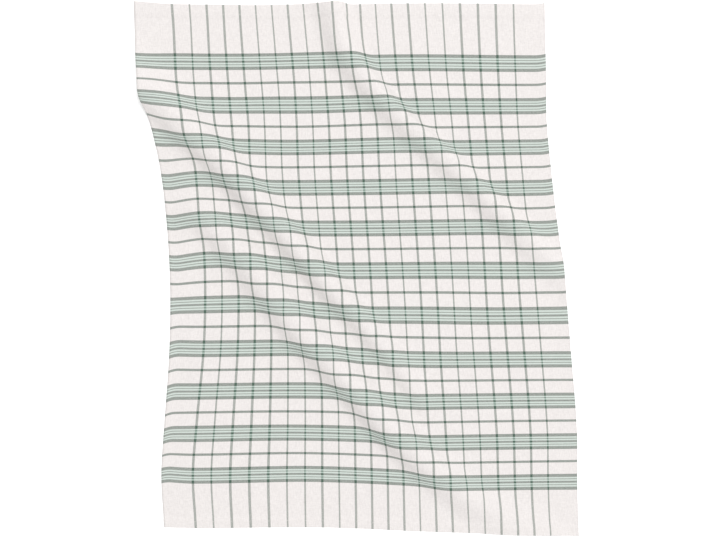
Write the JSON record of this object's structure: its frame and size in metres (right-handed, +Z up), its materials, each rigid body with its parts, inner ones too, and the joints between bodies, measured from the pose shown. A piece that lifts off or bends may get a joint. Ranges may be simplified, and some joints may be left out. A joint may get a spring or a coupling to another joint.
{
  "type": "tea towel",
  "caption": "Rectangular woven cotton tea towel with a green-grey stripe check, hemmed at both ends, laid face up on a surface in soft diagonal folds.",
  "frame": {"origin": "under the middle of the towel's outline, on the surface it lies on", "axes": "+Z up, off the surface; +Y along the towel's length, towards its top hem; +X across it, towards its right selvedge"},
  "size_m": [0.5772, 0.694, 0.0237],
  "materials": {
    "cotton": "matte plain-woven cotton, off-white with green-grey stripes"
  },
  "bodies": {
    "root": {"towel": "cotton"}
  },
  "joints": []
}
